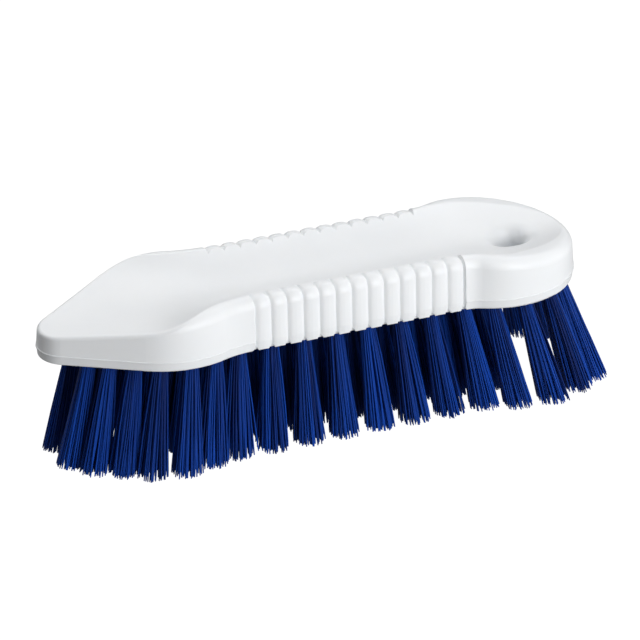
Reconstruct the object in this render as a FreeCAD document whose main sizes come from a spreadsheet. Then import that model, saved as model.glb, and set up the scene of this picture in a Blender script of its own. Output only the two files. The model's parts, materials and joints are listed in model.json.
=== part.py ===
import FreeCAD, Part
import math
import os
import Sketcher

Vector = FreeCAD.Vector

# Scrub brush: a moulded block with a dished back, ribbed grips and a hanging hole, filled with 58 tufts that
# fan outwards and are trimmed flat. Each tuft is held in its drilled hole by a flat anchor clip.
# The pieces are drawn with the block's underside at height zero and the middle of the grip at X zero.
# At the end everything moves together, so that the trimmed tips stand on Z zero and the box is centred in X.

# Driving dimensions: millimetres, degrees, counts, and shares where the name says so
SIZES = [
    ("block_length", 198.5, "nose tip to heel end, at the parting line"),
    ("heel_reach", 59.6, "middle of the grip to the centre of the heel's round"),
    ("heel_radius", 30.0, "round of the heel in plan"),
    ("nose_radius", 10.4, "round of the nose in plan"),
    ("nose_angle", 32.6, "slant of each flank to the long axis"),
    ("shoulder_width", 59.0, "widest place behind the nose"),
    ("shoulder_radius", 31.0, "round of the shoulder in plan"),
    ("neck_radius", 32.0, "hollow between shoulder and grip"),
    ("waist_width", 50.4, "width across the grip"),
    ("heel_neck_radius", 9.0, "hollow between grip and heel"),
    ("parting_height", 3.4, "mould parting line over the underside"),
    ("wall_draft", 3.5, "slant of the wall over the parting line"),
    ("foot_draft", 6.0, "slant of the wall under the parting line"),
    ("rim_height", 19.2, "rim along the grip"),
    ("nose_height", 13.5, "top at the nose tip, before the dish shaves it"),
    ("heel_height", 14.3, "top at the heel end"),
    ("nose_slope_length", 54.8, "nose tip to where the nose slope meets the rim"),
    ("heel_slope_length", 44.6, "heel end to where the heel slope meets the rim"),
    ("nose_blend", 120.0, "radius that eases the nose slope into the rim"),
    ("heel_blend", 60.0, "radius that eases the heel slope into the rim"),
    ("rim_round", 4.0, "round of the outer rim edge"),
    ("base_round", 0.8, "round of the lower edge"),
    ("ridge_width", 0.4, "raised line left by the mould's parting"),
    ("ridge_height", 0.22, "how far the raised line stands out"),
    ("rim_land", 6.2, "outline to the edge of the dish, along the grip"),
    ("heel_land", 7.6, "outline to the edge of the dish, across the heel"),
    ("end_land", 3.2, "outline to the edge of the dish, at the heel end"),
    ("nose_land", 7.8, "outline to the edge of the dish, at the shoulder"),
    ("crest_round", 1.4, "round of the edge of the dish"),
    ("dish_floor", 12.0, "lowest line of the dish over the underside"),
    ("heel_change", 26.0, "length over which the dish widens into the heel"),
    ("nose_fade_setback", 28.9, "nose tip to where the dish has faded into the nose"),
    ("nose_fade", 44.0, "length over which the dish fades"),
    ("nose_dish", 0.6, "depth of the dish on the nose"),
    ("nose_shave", 3.0, "how far the whole top of the nose is lowered with the dish"),
    ("hole_radius", 5.6, "hanging hole"),
    ("hole_reach", 68.2, "middle of the grip to the hanging hole"),
    ("hole_round", 5.8, "round of the hanging hole's upper rim"),
    ("hole_foot_round", 0.6, "round of the hanging hole's lower rim"),
    ("rib_pitch", 6.0, "one rib to the next along the grip"),
    ("rib_count", 13, "ribs on each side"),
    ("rib_depth", 1.1, "depth of the grooves between the ribs"),
    ("rib_sink", 0.06, "rib crown under the plain wall"),
    ("rib_lead", 0.6, "half width of the first and last groove at the wall"),
    ("notch_radius", 1.1, "half-round notch under the foot of each groove"),
    ("notch_reach", 1.9, "how far a notch runs in under the wall"),
    ("trim_length", 39.2, "underside to the trimmed tips"),
    ("drill_diameter", 5.6, "tuft hole"),
    ("drill_depth", 8.5, "depth of a tuft hole along its axis"),
    ("tuft_clearance", 0.05, "tuft to its hole, all round"),
    ("tip_diameter", 9.4, "tuft across its trimmed tips"),
    ("edge_inset", 6.4, "outline to the axis of an edge tuft"),
    ("tuft_pitch", 12.0, "one tuft to the next along the grip"),
    ("waist_tufts", 8, "edge tufts along each side of the grip"),
    ("waist_shift", 1.3, "middle of the grip to the middle of the edge tufts beside it, towards the nose"),
    ("nose_setback", 16.1, "nose tip to the nose pair of tufts"),
    ("nose_pair_half", 6.9, "long axis to each tuft of the nose pair"),
    ("flank_setback", 21.4, "nose tip to the first tuft on each flank"),
    ("heel_first_angle", 26.0, "long axis to the first heel tuft, about the heel's centre"),
    ("heel_step_angle", 28.6, "one heel tuft to the next"),
    ("heel_tufts", 4, "edge tufts round each half of the heel"),
    ("inner_half", 7.9, "long axis to an inner row"),
    ("inner_tufts", 11, "tufts in an inner row"),
    ("inner_last", 49.4, "middle of the grip to the last inner tuft"),
    ("fan_centre", 25.0, "middle of the grip to the upright tufts, towards the nose"),
    ("fan_long_share", 0.112, "lengthwise tip shift as a share of the distance from the upright tufts"),
    ("fan_cross_share", 0.22, "crosswise tip shift as a share of the distance from the long axis"),
    ("heel_pair_splay", 7.5, "crosswise tip shift of the two last heel tufts"),
    ("anchor_thickness", 0.45, "flat anchor wire"),
    ("anchor_height", 2.0, "anchor along the hole"),
    ("anchor_bite", 0.3, "anchor end sunk into the wall of the hole"),
    ("fold_thickness", 1.2, "folded filament between the anchor and the bottom of the hole"),
    ("cut_overrun", 3.0, "how far every cutting shape passes the surface it cuts"),
]

# Where the flank tufts stand between the first one and the grip
FLANK_SHARES = (0, 0.166, 0.34, 0.57, 0.79)
# How finely the dish is drawn along and across the block
DISH_STATIONS = 41
DISH_COLUMNS = 9

# How much of a rib's half pitch the round of the groove and the round of the rib reach over
GROOVE_SHARE = 0.13
CROWN_SHARE = 0.92

# How close counts as the same place when edges are picked, and how many points of an edge are looked at
NEAR = 0.01
DISH_NEAR = 0.05
EDGE_POINTS = 5

# How sketches number their fixed points and the ends of a piece
ORIGIN, LONG_AXIS = -1, -1
START, END, CENTRE = 1, 2, 3

doc = FreeCAD.newDocument("scrub_brush")
sheet = doc.addObject("Spreadsheet::Sheet", "Sizes")
for row, (alias, value, meaning) in enumerate(SIZES, start=1):
    sheet.set(f"A{row}", meaning)
    sheet.set(f"B{row}", str(value))
    sheet.setAlias(f"B{row}", alias)
doc.recompute()


def size(alias):
    return float(sheet.get(alias))


def count(alias):
    return int(sheet.get(alias))


def bind(item, **expressions):
    for name, expression in expressions.items():
        item.setExpression(name, expression)


# Values worked out from the driving dimensions

heel_end = size("heel_reach") + size("heel_radius")
nose_tip = heel_end - size("block_length")
nose_centre = nose_tip + size("nose_radius")
waist_half = size("waist_width") / 2
shoulder_half = size("shoulder_width") / 2
flank_slant = math.radians(size("nose_angle"))
flank_normal = Vector(-math.sin(flank_slant), math.cos(flank_slant), 0)
flank_run = Vector(math.cos(flank_slant), math.sin(flank_slant), 0)
flank_start = Vector(nose_centre, 0, 0) + flank_normal * size("nose_radius")
shoulder_level = shoulder_half - size("shoulder_radius")
flank_rise = shoulder_level + size("shoulder_radius") * flank_normal.y - flank_start.y
flank_length = flank_rise / flank_run.y
flank_end = flank_start + flank_run * flank_length
shoulder_centre = flank_end - flank_normal * size("shoulder_radius")
neck_level = waist_half + size("neck_radius")
neck_reach = size("shoulder_radius") + size("neck_radius")
neck_span = math.sqrt(neck_reach ** 2 - (neck_level - shoulder_centre.y) ** 2)
neck_centre = Vector(shoulder_centre.x + neck_span, neck_level, 0)
heel_neck_level = waist_half + size("heel_neck_radius")
heel_neck_reach = size("heel_radius") + size("heel_neck_radius")
heel_neck_span = math.sqrt(heel_neck_reach ** 2 - heel_neck_level ** 2)
heel_neck_centre = Vector(size("heel_reach") - heel_neck_span, heel_neck_level, 0)
heel_centre = Vector(size("heel_reach"), 0, 0)
shoulder_end = shoulder_centre + (neck_centre - shoulder_centre) * (size("shoulder_radius") / neck_reach)
heel_start = heel_centre + (heel_neck_centre - heel_centre) * (size("heel_radius") / heel_neck_reach)


def round_height(centre, radius, along, side):
    return centre.y + side * math.sqrt(max(radius ** 2 - (along - centre.x) ** 2, 0))


def half_width(along, inset):
    # Half the block's width at a place along it, on a line drawn inside the outline
    if along < flank_start.x - inset * flank_normal.x:
        return round_height(Vector(nose_centre, 0, 0), size("nose_radius") - inset, along, 1)
    if along < flank_end.x - inset * flank_normal.x:
        lead = flank_start - flank_normal * inset
        return lead.y + (along - lead.x) * math.tan(flank_slant)
    if along < shoulder_end.x:
        return round_height(shoulder_centre, size("shoulder_radius") - inset, along, 1)
    if along < neck_centre.x:
        return round_height(neck_centre, size("neck_radius") + inset, along, -1)
    if along < heel_neck_centre.x:
        return waist_half - inset
    if along < heel_start.x:
        return round_height(heel_neck_centre, size("heel_neck_radius") + inset, along, -1)
    return round_height(heel_centre, size("heel_radius") - inset, along, 1)


nose_slope = (size("rim_height") - size("nose_height")) / size("nose_slope_length")
heel_slope = (size("rim_height") - size("heel_height")) / size("heel_slope_length")
nose_corner = nose_tip + size("nose_slope_length")
heel_corner = heel_end - size("heel_slope_length")


def eased_drop(past, slope, blend):
    # How far a line has dropped past the place where it bends down, with the bend eased by a radius
    reach = blend * slope / 2
    if past < -reach:
        return 0
    if past > reach:
        return slope * past
    return slope * (past + reach) ** 2 / (4 * reach)


def top_height(along):
    # Height of the block's top before its edge is rounded
    nose_drop = eased_drop(nose_corner - along, nose_slope, size("nose_blend"))
    heel_drop = eased_drop(along - heel_corner, heel_slope, size("heel_blend"))
    return size("rim_height") - nose_drop - heel_drop


# Block: outline, padded both ways from the parting line, with a sloped top and rounded edges

block_body = doc.addObject("PartDesign::Body", "block_body")


def origin_plane(body, role):
    return next(item for item in body.Origin.OriginFeatures if item.Role == role)


def new_sketch(body, name, role):
    sketch = body.newObject("Sketcher::SketchObject", name)
    sketch.AttachmentSupport = (origin_plane(body, role), "")
    sketch.MapMode = "FlatFace"
    return sketch


def drive(sketch, name, expression, *constraint):
    index = sketch.addConstraint(Sketcher.Constraint(*constraint))
    sketch.renameConstraint(index, name)
    sketch.setExpression(f"Constraints.{name}", expression)


def arc(centre, radius, first, last):
    # Arc about a centre, anticlockwise from the direction of one point to that of another
    circle = Part.Circle(centre, Vector(0, 0, 1), radius)
    return Part.ArcOfCircle(circle, circle.parameter(first), circle.parameter(last))


def across(point):
    return Vector(point.x, -point.y, 0)


outline = new_sketch(block_body, "outline", "XY_Plane")
bind(outline, **{"AttachmentOffset.Base.z": "Sizes.parting_height"})
waist_start = Vector(neck_centre.x, waist_half, 0)
waist_end = Vector(heel_neck_centre.x, waist_half, 0)
nose_middle = Vector(nose_centre, 0, 0)
shoulder_radius = size("shoulder_radius")
neck_radius = size("neck_radius")
heel_neck_radius = size("heel_neck_radius")
# Round the outline: each piece with the end that meets the next piece and the end that meets the last one
outline_pieces = [
    (arc(nose_middle, size("nose_radius"), flank_start, across(flank_start)), START, END),
    (Part.LineSegment(flank_start, flank_end), END, START),
    (arc(shoulder_centre, shoulder_radius, shoulder_end, flank_end), START, END),
    (arc(neck_centre, neck_radius, shoulder_end, waist_start), END, START),
    (Part.LineSegment(waist_start, waist_end), END, START),
    (arc(heel_neck_centre, heel_neck_radius, waist_end, heel_start), END, START),
    (arc(heel_centre, size("heel_radius"), across(heel_start), heel_start), START, END),
    (arc(across(heel_neck_centre), heel_neck_radius, across(heel_start), across(waist_end)), END, START),
    (Part.LineSegment(across(waist_end), across(waist_start)), END, START),
    (arc(across(neck_centre), neck_radius, across(waist_start), across(shoulder_end)), END, START),
    (arc(across(shoulder_centre), shoulder_radius, across(flank_end), across(shoulder_end)), START, END),
    (Part.LineSegment(across(flank_end), across(flank_start)), END, START),
]
NOSE, FLANK, SHOULDER, NECK, WAIST, HEEL_NECK, HEEL = range(7)
FAR_HEEL_NECK, FAR_WAIST, FAR_NECK, FAR_SHOULDER, FAR_FLANK = range(7, 12)
outline.addGeometry([piece[0] for piece in outline_pieces], False)
for index, (_, leave, _) in enumerate(outline_pieces):
    following = (index + 1) % len(outline_pieces)
    enter = outline_pieces[following][2]
    outline.addConstraint(Sketcher.Constraint("Tangent", index, leave, following, enter))
for end in (NOSE, HEEL):
    outline.addConstraint(Sketcher.Constraint("PointOnObject", end, CENTRE, LONG_AXIS))
for near, far in ((SHOULDER, FAR_SHOULDER), (NECK, FAR_NECK), (HEEL_NECK, FAR_HEEL_NECK)):
    outline.addConstraint(Sketcher.Constraint("Equal", near, far))
for level in (WAIST, FAR_WAIST):
    outline.addConstraint(Sketcher.Constraint("Horizontal", level))
for name, piece, value in (
    ("nose_radius", NOSE, size("nose_radius")),
    ("shoulder_radius", SHOULDER, shoulder_radius),
    ("neck_radius", NECK, neck_radius),
    ("heel_neck_radius", HEEL_NECK, heel_neck_radius),
    ("heel_radius", HEEL, size("heel_radius")),
):
    drive(outline, name, f"Sizes.{name}", "Radius", piece, value)
drive(outline, "heel_reach", "Sizes.heel_reach", "DistanceX", ORIGIN, START, HEEL, CENTRE, size("heel_reach"))
drive(outline, "nose_reach", "Sizes.block_length - Sizes.heel_reach - Sizes.heel_radius - Sizes.nose_radius",
      "DistanceX", NOSE, CENTRE, ORIGIN, START, -nose_centre)
drive(outline, "near_waist", "Sizes.waist_width / 2", "DistanceY", ORIGIN, START, WAIST, START, waist_half)
drive(outline, "far_waist", "Sizes.waist_width / 2", "DistanceY", FAR_WAIST, START, ORIGIN, START, waist_half)
drive(outline, "near_shoulder", "Sizes.shoulder_width / 2 - Sizes.shoulder_radius",
      "DistanceY", ORIGIN, START, SHOULDER, CENTRE, shoulder_level)
drive(outline, "far_shoulder", "Sizes.shoulder_width / 2 - Sizes.shoulder_radius",
      "DistanceY", FAR_SHOULDER, CENTRE, ORIGIN, START, shoulder_level)
drive(outline, "near_slant", "Sizes.nose_angle", "Angle", LONG_AXIS, START, FLANK, START, flank_slant)
drive(outline, "far_slant", "180 - Sizes.nose_angle", "Angle", LONG_AXIS, START, FAR_FLANK, START,
      math.pi - flank_slant)
doc.recompute()

upper_wall = block_body.newObject("PartDesign::Pad", "upper_wall")
upper_wall.Profile = outline
bind(upper_wall, Length="Sizes.rim_height - Sizes.parting_height + Sizes.cut_overrun",
     TaperAngle="-Sizes.wall_draft")
lower_wall = block_body.newObject("PartDesign::Pad", "lower_wall")
lower_wall.Profile = outline
lower_wall.Reversed = True
bind(lower_wall, Length="Sizes.parting_height", TaperAngle="-Sizes.foot_draft")
doc.recompute()

# Side view of everything above the top: nose slope, level rim and heel slope, eased into one another
top_profile = new_sketch(block_body, "top_profile", "XZ_Plane")
nose_side = "Sizes.block_length - Sizes.heel_reach - Sizes.heel_radius"
nose_rise = "(Sizes.rim_height - Sizes.nose_height) / Sizes.nose_slope_length"
heel_side = "Sizes.heel_reach + Sizes.heel_radius"
heel_rise = "(Sizes.rim_height - Sizes.heel_height) / Sizes.heel_slope_length"
beyond_nose = nose_tip - size("cut_overrun")
beyond_heel = heel_end + size("cut_overrun")
above = size("rim_height") + 2 * size("cut_overrun")


def top_point(along):
    return Vector(along, top_height(along), 0)


def eased_arc(middle, blend, *places):
    centre = Vector(middle, size("rim_height") - blend, 0)
    return arc(centre, blend, *[top_point(place) for place in places])


nose_turn = math.atan(nose_slope)
heel_turn = math.atan(heel_slope)
nose_ease = size("nose_blend") * math.tan(nose_turn / 2)
heel_ease = size("heel_blend") * math.tan(heel_turn / 2)
rim_first = nose_corner + nose_ease
rim_last = heel_corner - heel_ease
nose_bend = nose_corner - nose_ease * math.cos(nose_turn)
heel_bend = heel_corner + heel_ease * math.cos(heel_turn)
nose_high = Vector(beyond_nose, above, 0)
heel_high = Vector(beyond_heel, above, 0)
# Each piece with the end that meets the next piece and the end that meets the last one
top_pieces = [
    (Part.LineSegment(top_point(beyond_nose), top_point(nose_bend)), END, START),
    (eased_arc(rim_first, size("nose_blend"), rim_first, nose_bend), START, END),
    (Part.LineSegment(top_point(rim_first), top_point(rim_last)), END, START),
    (eased_arc(rim_last, size("heel_blend"), heel_bend, rim_last), START, END),
    (Part.LineSegment(top_point(beyond_heel), top_point(heel_bend)), START, END),
    (Part.LineSegment(top_point(beyond_heel), heel_high), END, START),
    (Part.LineSegment(heel_high, nose_high), END, START),
    (Part.LineSegment(nose_high, top_point(beyond_nose)), END, START),
]
NOSE_SLOPE, NOSE_EASE, RIM, HEEL_EASE, HEEL_SLOPE, HEEL_SIDE, TOP_SIDE, NOSE_SIDE = range(8)
top_profile.addGeometry([piece[0] for piece in top_pieces], False)
for index, (_, leave, _) in enumerate(top_pieces):
    following = (index + 1) % len(top_pieces)
    join = "Tangent" if following in (NOSE_EASE, RIM, HEEL_EASE, HEEL_SLOPE) else "Coincident"
    top_profile.addConstraint(Sketcher.Constraint(join, index, leave, following, top_pieces[following][2]))
for level in (RIM, TOP_SIDE):
    top_profile.addConstraint(Sketcher.Constraint("Horizontal", level))
for upright in (HEEL_SIDE, NOSE_SIDE):
    top_profile.addConstraint(Sketcher.Constraint("Vertical", upright))
drive(top_profile, "nose_blend", "Sizes.nose_blend", "Radius", NOSE_EASE, size("nose_blend"))
drive(top_profile, "heel_blend", "Sizes.heel_blend", "Radius", HEEL_EASE, size("heel_blend"))
drive(top_profile, "nose_turn", f"atan({nose_rise})", "Angle", NOSE_SLOPE, nose_turn)
drive(top_profile, "heel_turn", f"180 deg - atan({heel_rise})", "Angle", HEEL_SLOPE, math.pi - heel_turn)
drive(top_profile, "rim_level", "Sizes.rim_height",
      "DistanceY", ORIGIN, START, RIM, START, size("rim_height"))
drive(top_profile, "top_level", "Sizes.rim_height + 2 * Sizes.cut_overrun",
      "DistanceY", ORIGIN, START, TOP_SIDE, START, above)
drive(top_profile, "nose_level", f"Sizes.nose_height - Sizes.cut_overrun * {nose_rise}",
      "DistanceY", ORIGIN, START, NOSE_SLOPE, START, top_height(beyond_nose))
drive(top_profile, "heel_level", f"Sizes.heel_height - Sizes.cut_overrun * {heel_rise}",
      "DistanceY", ORIGIN, START, HEEL_SLOPE, START, top_height(beyond_heel))
drive(top_profile, "nose_along", f"{nose_side} + Sizes.cut_overrun",
      "DistanceX", NOSE_SLOPE, START, ORIGIN, START, -beyond_nose)
drive(top_profile, "heel_along", f"{heel_side} + Sizes.cut_overrun",
      "DistanceX", ORIGIN, START, HEEL_SLOPE, START, beyond_heel)
top_cut = block_body.newObject("PartDesign::Pocket", "top_cut")
top_cut.Profile = top_profile
top_cut.Type = "ThroughAll"
top_cut.Midplane = True
doc.recompute()


def edge_names(shape, wanted):
    return [f"Edge{index}" for index, edge in enumerate(shape.Edges, start=1) if wanted(edge)]


def crosswise(edge):
    first, last = edge.Vertexes[0].Point, edge.Vertexes[-1].Point
    straight = edge.Curve.TypeId == "Part::GeomLine"
    return straight and abs(first.x - last.x) < NEAR and abs(first.y - last.y) > NEAR


def on_top(edge):
    # The walls' own edges start at the parting line, so only the top's edges lie wholly over it
    return min(vertex.Z for vertex in edge.Vertexes) > size("parting_height") + NEAR


rim_edge = block_body.newObject("PartDesign::Fillet", "rim_edge")
rim_edge.Base = (top_cut, edge_names(top_cut.Shape, lambda edge: on_top(edge) and not crosswise(edge)))
bind(rim_edge, Radius="Sizes.rim_round")
doc.recompute()
lower_edge = block_body.newObject("PartDesign::Fillet", "lower_edge")
lower_edge.Base = (rim_edge, edge_names(rim_edge.Shape, lambda edge: abs(edge.BoundBox.ZMax) < NEAR))
bind(lower_edge, Radius="Sizes.base_round")
doc.recompute()

# Dish: a trough along the grip that fades out over the nose, widens into the heel and closes there

waist_crest = waist_half - size("rim_land")
nose_crest = shoulder_half - size("nose_land")
heel_crest = size("heel_radius") - size("heel_land")
end_crest = size("heel_radius") - size("end_land")
waist_depth = size("rim_height") - size("dish_floor")
waist_curve = waist_depth / waist_crest ** 2
heel_curve = (top_height(size("heel_reach")) - size("dish_floor")) / heel_crest ** 2
end_curve = (top_height(size("heel_reach") + end_crest) - size("dish_floor")) / end_crest ** 2


def eased(share):
    whole = min(max(share, 0), 1)
    return whole * whole * (3 - 2 * whole)


fade_start = nose_tip + size("nose_fade_setback") + size("nose_fade")


def dish_height(along, out):
    if along < 0:
        change = eased((fade_start - along) / size("nose_fade"))
        depth = waist_depth + (size("nose_dish") - waist_depth) * change
        crest = waist_crest + (nose_crest - waist_crest) * change
        return top_height(along) - depth * (1 - (out / crest) ** 2) - size("nose_shave") * change
    change = eased(1 + (along - size("heel_reach")) / size("heel_change"))
    curve = waist_curve + (heel_curve - waist_curve) * change
    past_centre = max(along - size("heel_reach"), 0)
    return size("dish_floor") + curve * out ** 2 + end_curve * past_centre ** 2


def evenly(first, last, number):
    return [first + (last - first) * index / (number - 1) for index in range(number)]


dish_reach = size("heel_radius") + size("cut_overrun")
dish_points = [
    [Vector(along, out, dish_height(along, out)) for out in evenly(-dish_reach, dish_reach, DISH_COLUMNS)]
    for along in evenly(beyond_nose, beyond_heel, DISH_STATIONS)
]
dish_surface = Part.BSplineSurface()
dish_surface.interpolate(dish_points)
dish_space = doc.addObject("Part::Feature", "dish_space")
dish_space.Shape = dish_surface.toShape().extrude(Vector(0, 0, above))


def cut(name, base, tool):
    result = doc.addObject("Part::Cut", name)
    result.Base = base
    result.Tool = tool
    doc.recompute()
    return result


def points_on(edge):
    return [edge.valueAt(value) for value in evenly(edge.FirstParameter, edge.LastParameter, EDGE_POINTS)]


def at_dish(edge):
    return all(abs(point.z - dish_height(point.x, point.y)) < DISH_NEAR for point in points_on(edge))


dished_block = cut("dished_block", block_body, dish_space)
crest_edge = doc.addObject("Part::Fillet", "crest_edge")
crest_edge.Base = dished_block
crest_edge.Edges = [(index, size("crest_round"), size("crest_round"))
                    for index, edge in enumerate(dished_block.Shape.Edges, start=1) if at_dish(edge)]
doc.recompute()

# Raised line round the wall, where the two halves of the mould met
ridge_outline = doc.addObject("Part::Offset2D", "ridge_outline")
ridge_outline.Source = outline
bind(ridge_outline, Value="Sizes.ridge_height")
ridge_plate = doc.addObject("Part::Extrusion", "ridge_plate")
ridge_plate.Base = ridge_outline
ridge_plate.DirMode = "Custom"
ridge_plate.Dir = Vector(0, 0, 1)
ridge_plate.Solid = True
bind(ridge_plate, LengthFwd="Sizes.ridge_width / 2", LengthRev="Sizes.ridge_width / 2")
ridged_block = doc.addObject("Part::Fuse", "ridged_block")
ridged_block.Base = crest_edge
ridged_block.Tool = ridge_plate
doc.recompute()

# Hanging hole, right through the heel, with a soft upper rim
hole_space = doc.addObject("Part::Cylinder", "hole_space")
bind(hole_space, Radius="Sizes.hole_radius", Height="Sizes.rim_height + 2 * Sizes.cut_overrun")
bind(hole_space, **{"Placement.Base.x": "Sizes.hole_reach", "Placement.Base.z": "-Sizes.cut_overrun"})
holed_block = cut("holed_block", ridged_block, hole_space)


def at_hole(edge):
    distances = [math.hypot(point.x - size("hole_reach"), point.y) for point in points_on(edge)]
    return all(abs(distance - size("hole_radius")) < NEAR for distance in distances)


hole_edges = doc.addObject("Part::Fillet", "hole_edges")
hole_edges.Base = holed_block
rounds = []
for index, edge in enumerate(holed_block.Shape.Edges, start=1):
    if at_hole(edge) and edge.BoundBox.ZLength < size("hole_radius"):
        low = edge.BoundBox.ZMax < size("parting_height")
        edge_round = size("hole_foot_round") if low else size("hole_round")
        rounds.append((index, edge_round, edge_round))
hole_edges.Edges = rounds
doc.recompute()

# Ribs: one comb-shaped space for each side, run up the wall, over the rim and into the dish

rib_pitch = size("rib_pitch")
ribs_half = rib_pitch * count("rib_count") / 2
foot_slant = math.radians(size("foot_draft"))
wall_slant = math.radians(size("wall_draft"))
rim_centre_level = size("rim_height") - size("rim_round")
rim_centre_out = (waist_half - (rim_centre_level - size("parting_height")) * math.tan(wall_slant)
                  - size("rim_round") / math.cos(wall_slant))


def comb(place, outward):
    # Comb across the wall at a place: rib crowns just under the wall, rounded grooves between them
    def at(along, depth):
        return place + Vector(along, 0, 0) + outward * depth

    crown, groove, clear = -size("rib_sink"), -size("rib_depth"), size("cut_overrun")
    lead = size("rib_lead") * (1 + clear / size("rib_depth"))
    half_pitch = rib_pitch / 2
    edges = [Part.LineSegment(at(-ribs_half - lead, clear), at(-ribs_half, groove)).toShape()]
    for index in range(count("rib_count")):
        top = -ribs_half + (index + 1 / 2) * rib_pitch
        rise = [(-half_pitch, groove), (-half_pitch * (1 - GROOVE_SHARE), groove),
                (-half_pitch * CROWN_SHARE, crown), (0, crown)]
        fall = [(-along, depth) for along, depth in reversed(rise)]
        for poles in (rise, fall):
            curve = Part.BezierCurve()
            curve.setPoles([at(top + along, depth) for along, depth in poles])
            edges.append(curve.toShape())
    edges.append(Part.LineSegment(at(ribs_half, groove), at(ribs_half + lead, clear)).toShape())
    edges.append(Part.LineSegment(at(ribs_half + lead, clear), at(-ribs_half - lead, clear)).toShape())
    return Part.Face(Part.Wire(edges))


def rib_space(side):
    clear = size("cut_overrun")
    parting = Vector(0, side * waist_half, size("parting_height"))
    foot_out = Vector(0, side * math.cos(foot_slant), -math.sin(foot_slant))
    foot_down = Vector(0, -side * math.sin(foot_slant), -math.cos(foot_slant))
    wall_out = Vector(0, side * math.cos(wall_slant), math.sin(wall_slant))
    wall_up = Vector(0, -side * math.sin(wall_slant), math.cos(wall_slant))
    upright = Vector(0, 0, 1)
    rim_centre = Vector(0, side * rim_centre_out, rim_centre_level)
    wall_top = rim_centre + wall_out * size("rim_round")
    rim_top = rim_centre + upright * size("rim_round")
    foot_length = size("parting_height") + 2 * clear
    foot = comb(parting - foot_down * clear, foot_out).extrude(foot_down * foot_length)
    low = parting - wall_up * clear
    wall = comb(low, wall_out).extrude(wall_top - low)
    turn = 90 - size("wall_draft")
    rim = comb(wall_top, wall_out).revolve(rim_centre, Vector(side, 0, 0), turn)
    inward = Vector(0, side * (waist_crest - clear - rim_centre_out), 0)
    land = comb(rim_top, upright).extrude(inward)
    notches = []
    for index in range(count("rib_count") + 1):
        start = Vector(index * rib_pitch - ribs_half, side * (waist_half - size("notch_reach")), 0)
        length = size("notch_reach") + clear
        notches.append(Part.makeCylinder(size("notch_radius"), length, start, Vector(0, side, 0)))
    return foot.fuse([wall, rim, land] + notches)


rib_spaces = doc.addObject("Part::Feature", "rib_spaces")
rib_spaces.Shape = Part.makeCompound([rib_space(side) for side in (1, -1)])
ribbed_block = cut("ribbed_block", hole_edges, rib_spaces)

# Tufts: where each one stands on the underside and how far its tips shift outwards

trim_length = size("trim_length")


def fan_shift(along, out):
    return size("fan_long_share") * (along + size("fan_centre")), size("fan_cross_share") * out


def edge_places():
    # Root and tip shift of each edge tuft on one side, from the nose to the heel
    nose_along = nose_tip + size("nose_setback")
    places = [(nose_along, size("nose_pair_half"), fan_shift(nose_along, 0))]
    waist_first = -size("tuft_pitch") * (count("waist_tufts") - 1) / 2 - size("waist_shift")
    flank_first = nose_tip + size("flank_setback")
    stations = [flank_first + share * (waist_first - flank_first) for share in FLANK_SHARES]
    stations += [waist_first + size("tuft_pitch") * index for index in range(count("waist_tufts"))]
    for along in stations:
        out = half_width(along, size("edge_inset"))
        places.append((along, out, fan_shift(along, out)))
    ring_radius = size("heel_radius") - size("edge_inset")
    for index in reversed(range(count("heel_tufts"))):
        angle = math.radians(size("heel_first_angle") + index * size("heel_step_angle"))
        along = size("heel_reach") + ring_radius * math.cos(angle)
        out = ring_radius * math.sin(angle)
        shift = fan_shift(along, out)
        if index == 0:
            shift = (shift[0], size("heel_pair_splay"))
        places.append((along, out, shift))
    return places


def inner_places():
    # Root and tip shift of each inner tuft on one side, from the nose to the heel
    places = []
    for index in range(count("inner_tufts")):
        along = size("inner_last") - size("tuft_pitch") * (count("inner_tufts") - 1 - index)
        places.append((along, size("inner_half"), fan_shift(along, size("inner_half"))))
    return places


def stand(item, root, turn, height):
    # Put a piece on a tuft's axis, a height above the underside along that axis
    item.Placement = FreeCAD.Placement(root + turn.multVec(Vector(0, 0, height)), turn)


trim_space = doc.addObject("Part::Box", "trim_space")
bind(trim_space, Length="2 * Sizes.block_length", Width="2 * Sizes.block_length",
     Height="2 * Sizes.cut_overrun")
trim_space.Placement.Base = Vector(-size("block_length"), -size("block_length"),
                                   -trim_length - 2 * size("cut_overrun"))
tuft_radius = "(Sizes.drill_diameter / 2 - Sizes.tuft_clearance)"
free_length = "(Sizes.trim_length + Sizes.cut_overrun)"
tip_radius = (f"{tuft_radius} + (Sizes.tip_diameter / 2 - {tuft_radius})"
              f" * {free_length} / Sizes.trim_length")
anchor_level = size("drill_depth") - size("tuft_clearance") - size("fold_thickness") - size("anchor_height")
anchor_long = size("drill_diameter") + 2 * size("anchor_bite")
drill_spaces, anchors, tufts = [], [], []


def anchor_box(name, root, turn, room=False):
    # Flat anchor across the hole, or the room that the tuft leaves for it with clearance all round
    box = doc.addObject("Part::Box", name)
    more = " + 2 * Sizes.tuft_clearance" if room else ""
    bind(box, Length="Sizes.drill_diameter + 2 * Sizes.anchor_bite" + more,
         Width="Sizes.anchor_thickness" + more, Height="Sizes.anchor_height" + more)
    spare = size("tuft_clearance") if room else 0
    corner = Vector(-anchor_long / 2 - spare, -size("anchor_thickness") / 2 - spare, anchor_level - spare)
    box.Placement = FreeCAD.Placement(root + turn.multVec(corner), turn)
    return box


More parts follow.
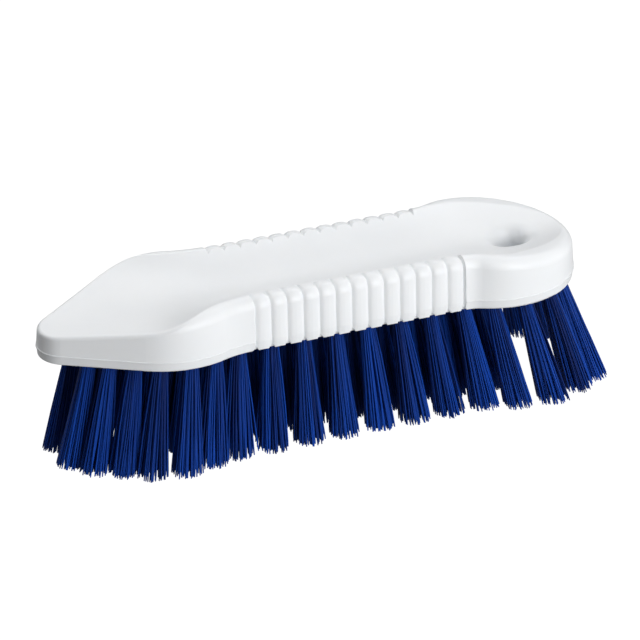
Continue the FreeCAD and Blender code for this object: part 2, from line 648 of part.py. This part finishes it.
def add_tuft(label, along, out, shift):
    # One tuft in its drilled hole, flared to its trimmed tips, with its anchor
    root = Vector(along, out, 0)
    axis = Vector(-shift[0], -shift[1], trim_length)
    turn = FreeCAD.Rotation(Vector(0, 0, 1), axis)
    slant_share = axis.Length / trim_length
    drill = doc.addObject("Part::Cylinder", label + "_drill")
    bind(drill, Radius="Sizes.drill_diameter / 2", Height="Sizes.drill_depth + Sizes.cut_overrun")
    stand(drill, root, turn, -size("cut_overrun"))
    stem = doc.addObject("Part::Cylinder", label + "_stem")
    bind(stem, Radius=tuft_radius, Height="Sizes.drill_depth - Sizes.tuft_clearance")
    stand(stem, root, turn, 0)
    flare = doc.addObject("Part::Cone", label + "_flare")
    bind(flare, Radius1=tip_radius, Radius2=tuft_radius, Height=f"{free_length} * {slant_share}")
    stand(flare, root, turn, -(trim_length + size("cut_overrun")) * slant_share)
    anchor = anchor_box(label + "_anchor", root, turn)
    anchor_room = anchor_box(label + "_anchor_room", root, turn, room=True)
    bundle = doc.addObject("Part::Fuse", label + "_bundle")
    bundle.Base = stem
    bundle.Tool = flare
    trimmed = doc.addObject("Part::Cut", label + "_trimmed")
    trimmed.Base = bundle
    trimmed.Tool = trim_space
    tuft = doc.addObject("Part::Cut", label)
    tuft.Base = trimmed
    tuft.Tool = anchor_room
    tuft.Label = label
    drill_spaces.append(drill)
    anchors.append(anchor)
    tufts.append(tuft)


for row, places in (("edge", edge_places()), ("inner", inner_places())):
    for hand, side in (("left", 1), ("right", -1)):
        for number, (along, out, shift) in enumerate(places, start=1):
            add_tuft(f"{row}_tuft_{hand}_{number:02d}", along, side * out, (shift[0], side * shift[1]))

tuft_anchors = doc.addObject("Part::Compound", "tuft_anchors")
tuft_anchors.Label = "tuft_anchors"
tuft_anchors.Links = anchors
drilling = doc.addObject("Part::Compound", "drilling")
drilling.Links = drill_spaces
drilled_block = cut("drilled_block", ribbed_block, drilling)
brush_block = cut("brush_block", drilled_block, tuft_anchors)
brush_block.Label = "brush_block"

failed = [item.Name for item in doc.Objects if "Invalid" in item.State or "Error" in item.State]
if failed:
    raise RuntimeError(f"not built: {failed}")

# Stand the trimmed tips on height zero and centre the whole box in X

pieces = [brush_block, tuft_anchors] + tufts
boxes = [piece.Shape.optimalBoundingBox() for piece in pieces]
middle = (min(box.XMin for box in boxes) + max(box.XMax for box in boxes)) / 2
for piece in pieces:
    piece.Placement = FreeCAD.Placement(Vector(-middle, 0, trim_length), FreeCAD.Rotation())
doc.recompute()

for base, result in ((lower_wall, top_cut), (block_body, dished_block), (ridged_block, holed_block),
                     (hole_edges, ribbed_block), (ribbed_block, drilled_block)):
    if result.Shape.Volume >= base.Shape.Volume:
        raise RuntimeError(f"{result.Name} takes nothing away")
for piece in pieces:
    if piece.Shape.isNull() or not piece.Shape.isValid():
        raise RuntimeError(f"unsound shape: {piece.Label}")
    wanted = len(tufts) if piece is tuft_anchors else 1
    if len(piece.Shape.Solids) != wanted:
        raise RuntimeError(f"{piece.Label} has {len(piece.Shape.Solids)} solids")

os.makedirs("parts", exist_ok=True)
for piece in pieces:
    piece.Shape.exportStep(f"parts/{piece.Label}.step")
print(f"{len(pieces)} pieces, hanging hole at X {size('hole_reach') - middle:.4f}")
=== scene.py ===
import json
import math

import bmesh
import bpy
import numpy as np
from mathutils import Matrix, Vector


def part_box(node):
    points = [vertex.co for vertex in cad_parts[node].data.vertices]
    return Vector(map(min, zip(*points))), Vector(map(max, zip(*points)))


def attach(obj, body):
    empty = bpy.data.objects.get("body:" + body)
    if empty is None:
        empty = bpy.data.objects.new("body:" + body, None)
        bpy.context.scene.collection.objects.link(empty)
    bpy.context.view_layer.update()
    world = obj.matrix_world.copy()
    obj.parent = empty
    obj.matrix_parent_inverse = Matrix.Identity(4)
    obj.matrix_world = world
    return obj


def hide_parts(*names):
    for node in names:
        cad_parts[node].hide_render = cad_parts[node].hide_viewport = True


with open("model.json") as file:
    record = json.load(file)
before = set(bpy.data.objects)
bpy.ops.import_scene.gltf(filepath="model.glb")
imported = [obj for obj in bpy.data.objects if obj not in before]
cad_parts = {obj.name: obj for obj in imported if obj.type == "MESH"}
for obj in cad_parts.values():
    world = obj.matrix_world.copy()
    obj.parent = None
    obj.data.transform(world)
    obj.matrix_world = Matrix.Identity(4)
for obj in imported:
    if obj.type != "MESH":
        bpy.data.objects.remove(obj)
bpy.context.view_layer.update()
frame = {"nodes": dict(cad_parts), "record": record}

mounts = {mount["name"]: mount for mount in frame["record"]["mounts"]}
holeX = mounts["hanging_hole"]["pos_m"][0]
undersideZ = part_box("brush_block")[0].z
print("frame loaded:", len(frame["nodes"]), "nodes")


def pickOnly(item):
    bpy.ops.object.select_all(action="DESELECT")
    item.select_set(True)
    bpy.context.view_layer.objects.active = item


def named(name):
    made = bpy.context.object
    made.name = name
    made.data.name = name
    return made


def dress(item, material):
    item.data.materials.clear()
    item.data.materials.append(material)


def outward(turn, rise):
    # Away from the brush: round from straight in front, and up from the floor
    level = math.cos(rise)
    return Vector((math.sin(turn) * level, -math.cos(turn) * level, math.sin(rise)))


# Camera: a long lens, low over the near side, with the nose to the left
cameraSetup = dict(
    azimuth=-23.41,             # degrees round from straight ahead, towards the nose
    elevation=26.42,            # degrees over the floor
    distance=1.73626,
    lens=281.25,                # mm, on a sensor of the next size
    sensor=36.0,
    gripFromHole=-0.0682,       # hanging hole to the middle of the ribs
    aimRight=-0.00426,          # middle of the grip's underside to the middle of the picture
    aimUp=-0.00637,
    clipEnd=20,
)


def addCamera(setup):
    turn = math.radians(setup["azimuth"])
    rise = math.radians(setup["elevation"])
    back = outward(turn, rise)
    right = Vector((math.cos(turn), math.sin(turn), 0))
    aim = Vector((holeX + setup["gripFromHole"], 0, undersideZ))
    aim += right * setup["aimRight"] + back.cross(right) * setup["aimUp"]
    place = aim + back * setup["distance"]
    bpy.ops.object.camera_add(location=place, rotation=(math.pi / 2 - rise, 0, turn))
    camera = named("photoCamera")
    camera.data.lens = setup["lens"]
    camera.data.sensor_width = setup["sensor"]
    camera.data.clip_end = setup["clipEnd"]
    bpy.context.scene.camera = camera


addCamera(cameraSetup)
print("camera placed")


# Shader maths: a Wire is one output socket, and sums of wires and numbers add their own Math nodes
class Wire:
    def __init__(self, finish, socket):
        self.finish = finish
        self.socket = socket

    def maths(self, operation, first, second):
        return self.finish.node("ShaderNodeMath", dict(operation=operation), {0: first, 1: second})

    def __add__(self, other):
        return self.maths("ADD", self, other)

    def __radd__(self, other):
        return self.maths("ADD", other, self)

    def __sub__(self, other):
        return self.maths("SUBTRACT", self, other)

    def __mul__(self, other):
        return self.maths("MULTIPLY", self, other)


class Finish:
    def __init__(self, name, **constants):
        self.material = bpy.data.materials.new(name)
        self.material.use_nodes = True
        self.tree = self.material.node_tree
        self.shader = self.tree.nodes["Principled BSDF"]
        self.set(**constants)

    def node(self, kind, settings, inputs, output=0):
        made = self.tree.nodes.new(kind)
        for setting, value in settings.items():
            setattr(made, setting, value)
        for socket, value in inputs.items():
            self.feed(made.inputs[socket], value)
        return Wire(self, made.outputs[output])

    def feed(self, socket, value):
        if isinstance(value, Wire):
            self.tree.links.new(value.socket, socket)
        else:
            socket.default_value = value

    def set(self, **inputs):
        for socket, value in inputs.items():
            self.feed(self.shader.inputs[socket.replace("_", " ")], value)

    def attribute(self, name):
        return self.node("ShaderNodeAttribute", dict(attribute_name=name), {}, "Fac")

    def noise(self, scale, detail):
        place = self.node("ShaderNodeTexCoord", {}, {}, "Object")
        inputs = {"Vector": place, "Scale": scale, "Detail": detail}
        return self.node("ShaderNodeTexNoise", {}, inputs, "Fac")

    def mixColours(self, factor, first, second):
        firstColour, secondColour, result = 6, 7, 2     # the Mix node's sockets for colours
        inputs = {"Factor": factor, firstColour: first, secondColour: second}
        return self.node("ShaderNodeMix", dict(data_type="RGBA"), inputs, result)

    def bump(self, height, depth, strength):
        inputs = {"Height": height, "Distance": depth, "Strength": strength}
        return self.node("ShaderNodeBump", {}, inputs)


# Block: satin white plastic, faintly mottled, with a fine grain over a soft ripple
blockSetup = dict(
    ior=1.49,
    subsurfaceWeight=0.12,
    subsurfaceScale=0.002,
    subsurfaceRadius=(1.0, 0.9, 0.8),
    mottle=(60, 3),             # scale and detail of the noise
    grain=(900, 2),
    ripple=(220, 1),
    darkColour=(0.80, 0.82, 0.84, 1),
    lightColour=(0.84, 0.855, 0.87, 1),
    roughness=0.33,
    grainRoughness=0.10,        # what the grain adds to the roughness
    mottleRoughness=0.06,
    grainBumpShare=0.4,
    rippleBumpShare=0.6,
    bumpDepth=0.00004,
    bumpStrength=0.5,
)


def blockPlastic(setup):
    finish = Finish(
        "whitePolypropylene",
        IOR=setup["ior"],
        Subsurface_Weight=setup["subsurfaceWeight"],
        Subsurface_Scale=setup["subsurfaceScale"],
        Subsurface_Radius=setup["subsurfaceRadius"],
    )
    mottle = finish.noise(*setup["mottle"])
    grain = finish.noise(*setup["grain"])
    ripple = finish.noise(*setup["ripple"])
    height = grain * setup["grainBumpShare"] + ripple * setup["rippleBumpShare"]
    finish.set(
        Base_Color=finish.mixColours(mottle, setup["darkColour"], setup["lightColour"]),
        Roughness=(setup["roughness"] + grain * setup["grainRoughness"]
                   + mottle * setup["mottleRoughness"]),
        Normal=finish.bump(height, setup["bumpDepth"], setup["bumpStrength"]),
    )
    return finish.material


# Anchors: bright drawn wire
anchorSetup = dict(
    metallic=1.0,
    grain=(3000, 2),            # scale and detail of the noise
    darkColour=(0.55, 0.55, 0.56, 1),
    lightColour=(0.68, 0.68, 0.69, 1),
    roughness=0.25,
    grainRoughness=0.15,        # what the grain adds to the roughness
    bumpDepth=0.00001,
    bumpStrength=0.4,
)


def anchorSteel(setup):
    finish = Finish("drawnSteel", Metallic=setup["metallic"])
    grain = finish.noise(*setup["grain"])
    finish.set(
        Base_Color=finish.mixColours(grain, setup["darkColour"], setup["lightColour"]),
        Roughness=setup["roughness"] + grain * setup["grainRoughness"],
        Normal=finish.bump(grain, setup["bumpDepth"], setup["bumpStrength"]),
    )
    return finish.material


dress(frame["nodes"]["brush_block"], blockPlastic(blockSetup))
dress(frame["nodes"]["tuft_anchors"], anchorSteel(anchorSetup))
print("block and anchors finished")

# Filament: one rod, cut across where it can bend, with its cut end drawn in a little
filamentSetup = dict(
    width=0.00054,
    sides=6,
    leaveShare=0.1,             # where the rod leaves its hole, along its length
    bendShares=(0.37, 0.66, 0.95),
    endFromShare=0.999,         # corners past this belong to the cut end
    endWidthShare=0.75,
    ringDigits=4,               # digits that tell one ring of corners from the next
    smoothAngle=70,             # degrees
    ior=1.57,
    specular=0.12,
    deepColour=(0.001, 0.013, 0.10, 1),
    brightColour=(0.0045, 0.056, 0.37, 1),
    shadeWeight=1.1,            # how much a filament's own shade brightens it
    rootShadeWeight=0.4,            # painted shade: how much darker the colour is made towards the root than at the tip, for the shade under the block and among the tufts
    deepening=0.35,
    fleck=(1500, 1),            # scale and detail of the noise
    roughness=0.36,
    shadeRoughness=0.08,        # what the shade adds to the roughness
    fleckRoughness=0.08,
    alongRoughness=0.04,
    bumpDepth=0.00002,
    bumpStrength=0.4,
)


def blueFilament(setup):
    finish = Finish("bluePolyester", IOR=setup["ior"], Specular_IOR_Level=setup["specular"])
    shade = finish.attribute("filamentShade")
    along = finish.attribute("filamentAlong")
    fleck = finish.noise(*setup["fleck"])
    # Colour: each filament's own random tone, plus painted shade that darkens it towards its root
    brightness = shade * setup["shadeWeight"] + along * setup["rootShadeWeight"] - setup["deepening"]
    finish.set(
        Base_Color=finish.mixColours(brightness, setup["deepColour"], setup["brightColour"]),
        Roughness=(setup["roughness"] + shade * setup["shadeRoughness"]
                   + fleck * setup["fleckRoughness"] + along * setup["alongRoughness"]),
        Normal=finish.bump(fleck, setup["bumpDepth"], setup["bumpStrength"]),
    )
    return finish.material


def modelFilament(setup):
    # One unit long, from the root at zero to the cut end
    bpy.ops.object.select_all(action="DESELECT")
    bpy.ops.mesh.primitive_cylinder_add(vertices=setup["sides"], radius=setup["width"] / 2, depth=1,
                                        location=(0, 0, 0.5))
    filament = named("filamentPattern")
    bpy.ops.object.transform_apply()
    bpy.ops.object.mode_set(mode="EDIT")
    for share in (setup["leaveShare"], *setup["bendShares"]):
        bpy.ops.mesh.select_all(action="SELECT")
        bpy.ops.mesh.bisect(plane_co=(0, 0, share), plane_no=(0, 0, 1))
    bpy.ops.mesh.select_all(action="DESELECT")
    edited = bmesh.from_edit_mesh(filament.data)
    for corner in edited.verts:
        corner.select_set(corner.co.z > setup["endFromShare"])
    edited.select_flush_mode()
    bpy.ops.transform.resize(value=(setup["endWidthShare"], setup["endWidthShare"], 1))
    bpy.ops.object.mode_set(mode="OBJECT")
    return filament


# Tufts: each CAD bundle is replaced by its separate filaments, flared from the hole to the trim
tuftSetup = dict(
    filaments=112,
    rootRadius=0.0025,
    tipRadius=0.0057,
    tipSlice=0.00001,           # height of the CAD bundle's end that gives the middle of its tips
    topSlice=0.0035,            # and of its other end, in the hole
    rootLift=0.004,             # how far up its hole a filament starts
    jitterShare=0.05,           # how unevenly the filaments stand, of the tuft's radius
    clumps=15,
    clumpPullShare=0.20,        # how far the tips draw together into clumps
    bow=0.00022,                # how far a filament's middle strays from straight
    trimScatter=0.0006,         # how unevenly the tips are cut
    trimPower=2,                # more brings more of the tips down to the trim
    strayShare=0.03,            # filaments that stand out of their tuft
    strayReachShare=0.3,
    shortReach=0.0022,          # how much shorter than the rest a stray can be
    clumpShadeShare=0.75,       # how much of a filament's shade it has from its clump
    uvGapShare=0.1,             # room between two filaments' strips of the UV map
    seed=41,
)
goldenTurn = math.pi * (3 - math.sqrt(5))


def tuftAxis(node, setup):
    corners = np.array([vertex.co for vertex in frame["nodes"][node].data.vertices])
    height = corners[:, 2]
    tips = corners[height < height.min() + setup["tipSlice"]]
    tops = corners[height > height.max() - setup["topSlice"]]
    tip = (tips.min(0) + tips.max(0)) / 2
    top = (tops.min(0) + tops.max(0)) / 2
    root = tip + (top - tip) * (undersideZ - tip[2]) / (top[2] - tip[2])
    return root, tip


def filamentPaths(node, setup, shares, leaveShare, dice):
    # One row of places for each filament, from inside the hole to the cut end
    root, tip = tuftAxis(node, setup)
    total = setup["filaments"]
    number = np.arange(total)
    turn = dice.uniform(0, 2 * math.pi) + number * goldenTurn
    reach = np.sqrt((number + 0.5) / total)
    rootSpots = np.stack([np.cos(turn), np.sin(turn)], 1) * reach[:, None]
    tipSpots = rootSpots + dice.normal(0, setup["jitterShare"], rootSpots.shape)
    centres = tipSpots[dice.choice(total, setup["clumps"], replace=False)]
    clump = np.linalg.norm(tipSpots[:, None] - centres[None], axis=2).argmin(1)
    tipSpots += (centres[clump] - tipSpots) * setup["clumpPullShare"]
    stray = dice.random(total) < setup["strayShare"]
    tipSpots *= 1 + (stray * dice.random(total) * setup["strayReachShare"])[:, None]
    lifts = dice.random(total) ** setup["trimPower"] * setup["trimScatter"]
    lifts += stray * dice.random(total) * setup["shortReach"]
    bows = dice.normal(0, setup["bow"], rootSpots.shape)
    starts = np.tile(root, (total, 1))
    starts[:, :2] += rootSpots * setup["rootRadius"]
    ends = np.tile(tip, (total, 1))
    ends[:, :2] += tipSpots * setup["tipRadius"]
    free = np.clip((shares - leaveShare) / (1 - leaveShare), 0, 1)
    free = free[None, :, None] * (1 - lifts / undersideZ)[:, None, None]
    paths = starts[:, None] * (1 - free) + ends[:, None] * free
    paths[:, :, :2] += bows[:, None] * np.sin(math.pi * free)
    paths[:, 0] += (root - tip) / (root[2] - tip[2]) * setup["rootLift"]
    shades = setup["clumpShadeShare"] * dice.random(setup["clumps"])[clump]
    shades += (1 - setup["clumpShadeShare"]) * dice.random(total)
    return paths, shades


def addTuft(node, pattern, setup, material, dice):
    # Copies of the one filament, each with its rings moved onto its own path
    mesh = pattern.data
    corners = np.array([vertex.co for vertex in mesh.vertices])
    heights = corners[:, 2].round(filamentSetup["ringDigits"])
    shares, ring = np.unique(heights, return_inverse=True)
    paths, shades = filamentPaths(node, setup, shares, filamentSetup["leaveShare"], dice)
    total, perFilament = len(paths), len(corners)
    places = (paths[:, ring] + corners * (1, 1, 0)).reshape(-1, 3)
    faces = [[corner + copy * perFilament for corner in face.vertices]
             for copy in range(total) for face in mesh.polygons]
    name = "filaments_" + node
    made = bpy.data.meshes.new(name)
    made.from_pydata(places.tolist(), [], faces)
    strips = np.tile([loop.uv for loop in mesh.uv_layers.active.data], (total, 1, 1))
    gap = setup["uvGapShare"]
    strips[:, :, 0] = (strips[:, :, 0] * (1 - 2 * gap) + gap + np.arange(total)[:, None]) / total
    made.uv_layers.new(name="OFBake").data.foreach_set("uv", strips.astype(np.float32).ravel())
    for attribute, values in (("filamentShade", np.repeat(shades, perFilament)),
                              ("filamentAlong", np.tile(corners[:, 2], total))):
        layer = made.attributes.new(attribute, "FLOAT", "POINT")
        layer.data.foreach_set("value", values.astype(np.float32))
    tuft = bpy.data.objects.new(name, made)
    bpy.context.collection.objects.link(tuft)
    pickOnly(tuft)
    bpy.ops.object.shade_smooth_by_angle(angle=math.radians(filamentSetup["smoothAngle"]))
    dress(tuft, material)
    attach(tuft, "root")
    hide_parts(node)


filamentFinish = blueFilament(filamentSetup)
filamentPattern = modelFilament(filamentSetup)
tuftDice = np.random.default_rng(tuftSetup["seed"])
tuftNodes = sorted(name for name in frame["nodes"] if "_tuft_" in name)
for node in tuftNodes:
    addTuft(node, filamentPattern, tuftSetup, filamentFinish, tuftDice)
bpy.data.objects.remove(filamentPattern)
print("tufts made:", len(tuftNodes))

# Studio: soft boxes round the brush, none of them in front on the left, and a white floor
studioSetup = dict(
    boxes=dict(                 # degrees round from straight in front, degrees up, watts
        front=(22, 45, 7.6),
        frontLow=(13, 12, 17.4),
        rightFront=(45, 12, 1.5),
        right=(90, 45, 0.9),
        rightLow=(90, 12, 3.8),
        backRight=(135, 45, 3.1),
        back=(180, 45, 7.0),
        backLeft=(-135, 45, 8.6),
    ),
    boxWidth=0.9,
    boxDistance=1.5,
    bounce=0.3,                 # light that comes up from below
    glowColour=(1, 1, 1, 1),
    floorWidth=6,
    floorColour=(0.05, 0.05, 0.05, 1),
    floorRoughness=0.9,
    floorGlow=1.0,
)


def addSoftBox(name, azimuth, elevation, power, setup):
    away = outward(math.radians(azimuth), math.radians(elevation))
    place = Vector((0, 0, undersideZ)) + away * setup["boxDistance"]
    facing = away.to_track_quat("Z", "Y").to_euler()
    bpy.ops.object.light_add(type="AREA", location=place, rotation=facing)
    light = named(name + "SoftBox")
    light.data.size = setup["boxWidth"]
    light.data.energy = power


def addFloor(setup):
    bpy.ops.mesh.primitive_plane_add(size=setup["floorWidth"], location=(0, 0, 0))
    floor = named("studioFloor")
    finish = Finish(
        "paleFloor",
        Base_Color=setup["floorColour"],
        Roughness=setup["floorRoughness"],
        Emission_Color=setup["glowColour"],
        Emission_Strength=setup["floorGlow"],
    )
    dress(floor, finish.material)
    floor.visible_diffuse = False
    floor.visible_glossy = False


def addWorld(setup):
    # Dark above, and a soft glow from every direction below the horizon
    world = bpy.data.worlds.new("studioWorld")
    world.use_nodes = True
    tree = world.node_tree
    background = tree.nodes["Background"]
    direction = tree.nodes.new("ShaderNodeTexCoord")
    split = tree.nodes.new("ShaderNodeSeparateXYZ")
    below = tree.nodes.new("ShaderNodeMath")
    below.operation = "LESS_THAN"
    below.inputs[1].default_value = 0
    strength = tree.nodes.new("ShaderNodeMath")
    strength.operation = "MULTIPLY"
    strength.inputs[1].default_value = setup["bounce"]
    tree.links.new(direction.outputs["Generated"], split.inputs[0])
    tree.links.new(split.outputs["Z"], below.inputs[0])
    tree.links.new(below.outputs[0], strength.inputs[0])
    tree.links.new(strength.outputs[0], background.inputs["Strength"])
    background.inputs["Color"].default_value = setup["glowColour"]
    bpy.context.scene.world = world


for name, (azimuth, elevation, power) in studioSetup["boxes"].items():
    addSoftBox(name, azimuth, elevation, power, studioSetup)
addFloor(studioSetup)
addWorld(studioSetup)
bpy.context.scene.view_settings.view_transform = "Standard"
print("studio set")
